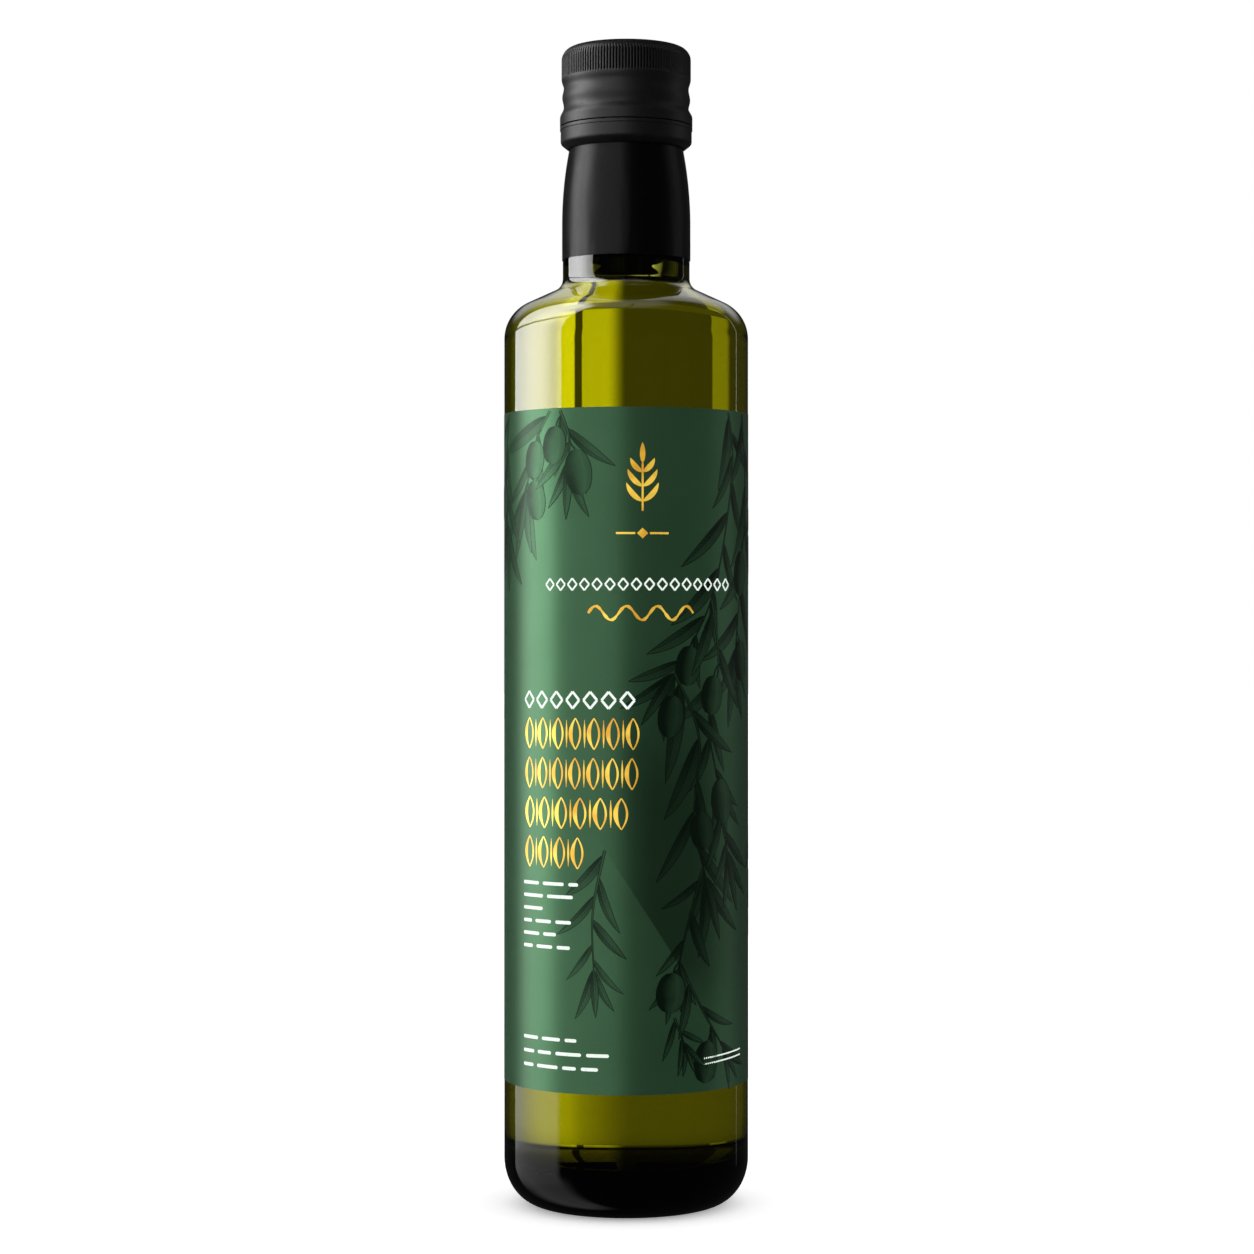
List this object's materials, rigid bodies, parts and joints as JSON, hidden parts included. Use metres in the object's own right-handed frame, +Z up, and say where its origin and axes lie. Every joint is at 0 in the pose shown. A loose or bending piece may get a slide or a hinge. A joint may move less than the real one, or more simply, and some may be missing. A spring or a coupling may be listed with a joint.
{
  "type": "olive oil bottle",
  "caption": "Tall round green glass bottle of olive oil, closed with a black ribbed screw cap and neck sleeve, with a dark green paper label round the body.",
  "frame": {"origin": "centre of the circle that the bottle stands on", "axes": "+Z up along the bottle's axis, -Y towards the middle of the label's front, +X to the right seen from the front"},
  "size_m": [0.0618, 0.0617, 0.2913],
  "materials": {
    "bottle_glass": "smooth clear olive green glass",
    "olive_oil": "clear golden green oil",
    "label_paper": "satin dark green paper with darker, gold and cream print",
    "sleeve_film": "matte black shrink film",
    "cap_plastic": "matte black moulded plastic"
  },
  "bodies": {
    "root": {"glass_bottle": "bottle_glass", "oil": "olive_oil", "label": "label_paper", "neck_sleeve": "sleeve_film", "cap": "cap_plastic", "tamper_ring": "cap_plastic"}
  },
  "joints": []
}
